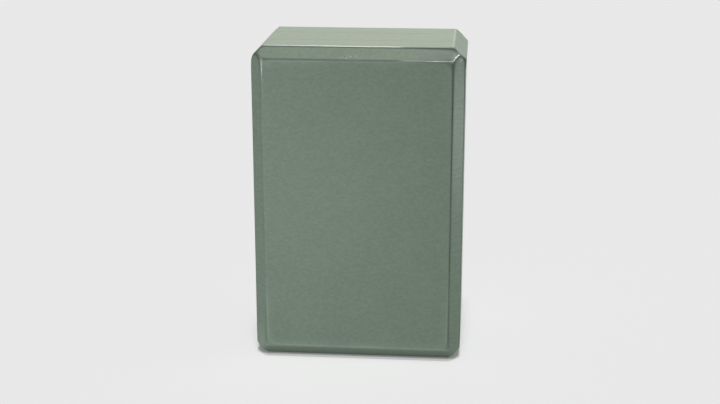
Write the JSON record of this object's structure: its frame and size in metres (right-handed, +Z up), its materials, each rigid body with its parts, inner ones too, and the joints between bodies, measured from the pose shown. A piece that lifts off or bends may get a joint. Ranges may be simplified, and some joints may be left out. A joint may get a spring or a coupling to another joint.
{
  "type": "yoga block",
  "caption": "Rectangular foam yoga block with bevelled edges, laminated from bonded plies, that rests on any face as a hand, hip or foot support.",
  "frame": {"origin": "middle of the end face that the block stands on", "axes": "+Z up along the block's length, +X across the broad faces, +Y through the plies from the front face to the rear face"},
  "size_m": [0.15, 0.1, 0.23],
  "materials": {
    "foam": "satin",
    "glue": "satin"
  },
  "bodies": {
    "root": {"front_ply": "foam", "front_glue_film": "glue", "core_ply": "foam", "rear_glue_film": "glue", "rear_ply": "foam"}
  },
  "joints": []
}
